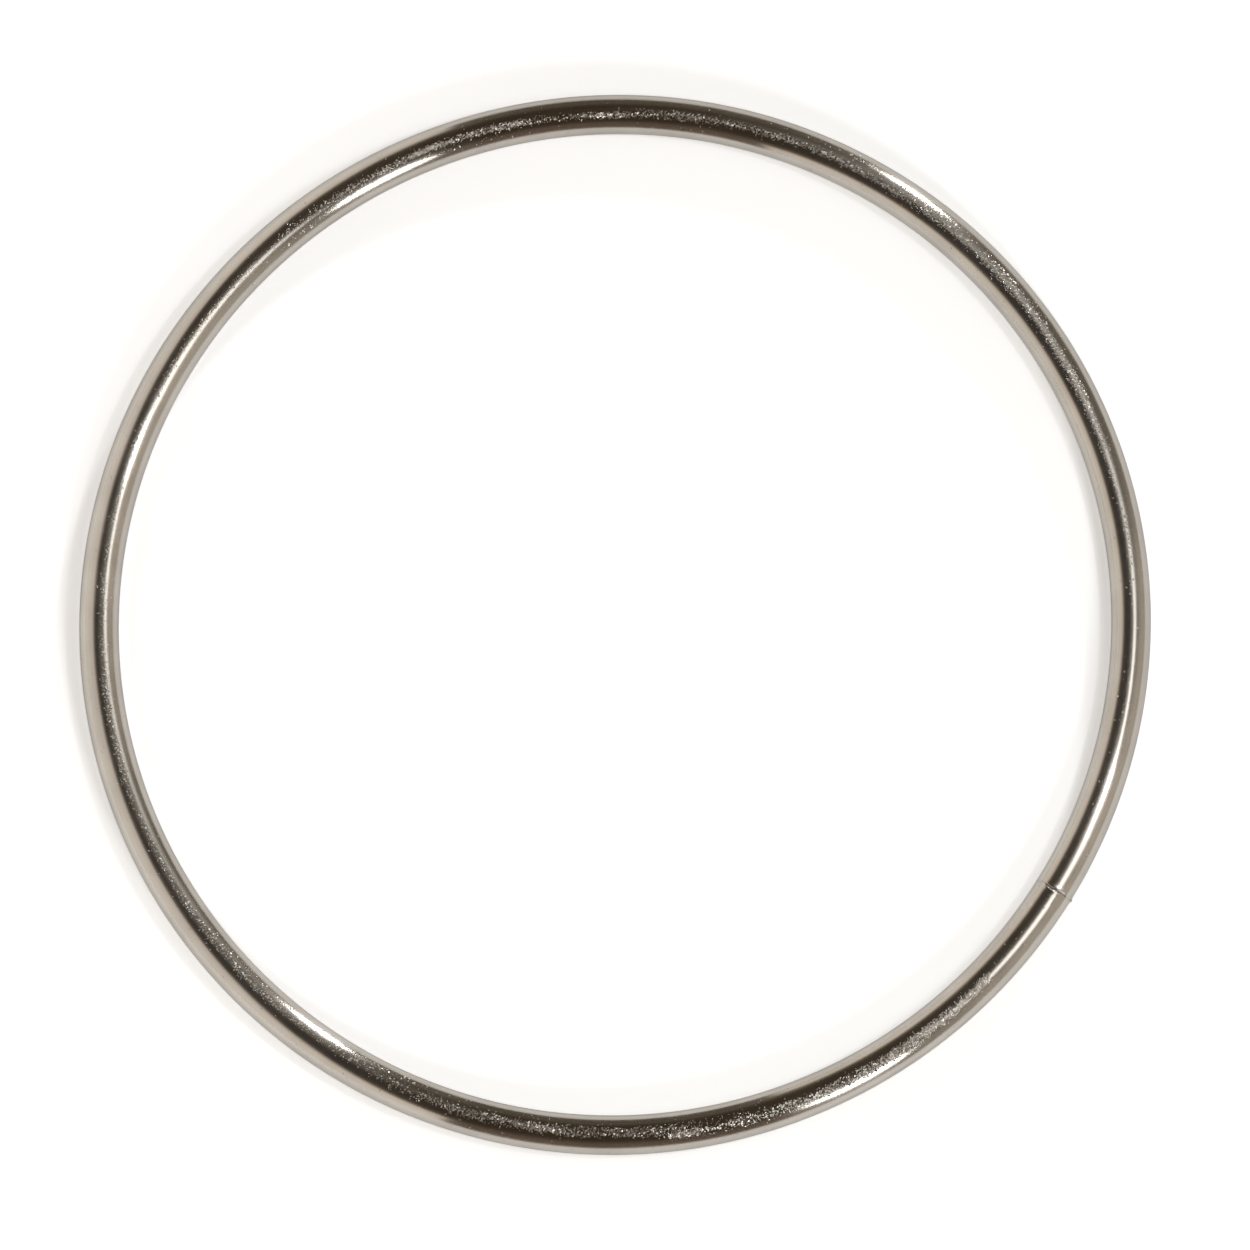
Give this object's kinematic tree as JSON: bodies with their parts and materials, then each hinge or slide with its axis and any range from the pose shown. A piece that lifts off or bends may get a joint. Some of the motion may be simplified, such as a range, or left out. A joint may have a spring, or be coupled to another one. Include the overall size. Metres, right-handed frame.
{
  "type": "wreath frame",
  "caption": "Plain round hoop of bright nickel-plated steel rod, closed by a butt weld, that foliage, wire and ribbon are bound to for a small wreath.",
  "frame": {"origin": "centre of the hoop, halfway up the rod", "axes": "+Z along the hoop's axis; the weld lies 328 degrees anticlockwise from +X seen from +Z, which sets +X and +Y as right and up in the picture"},
  "size_m": [0.108, 0.108, 0.004],
  "materials": {
    "rod_steel": "satin",
    "weld_metal": "satin",
    "bright_nickel": "polished"
  },
  "bodies": {
    "root": {"hoop_rod": "rod_steel", "butt_weld": "weld_metal", "nickel_plating": "bright_nickel"}
  },
  "joints": []
}
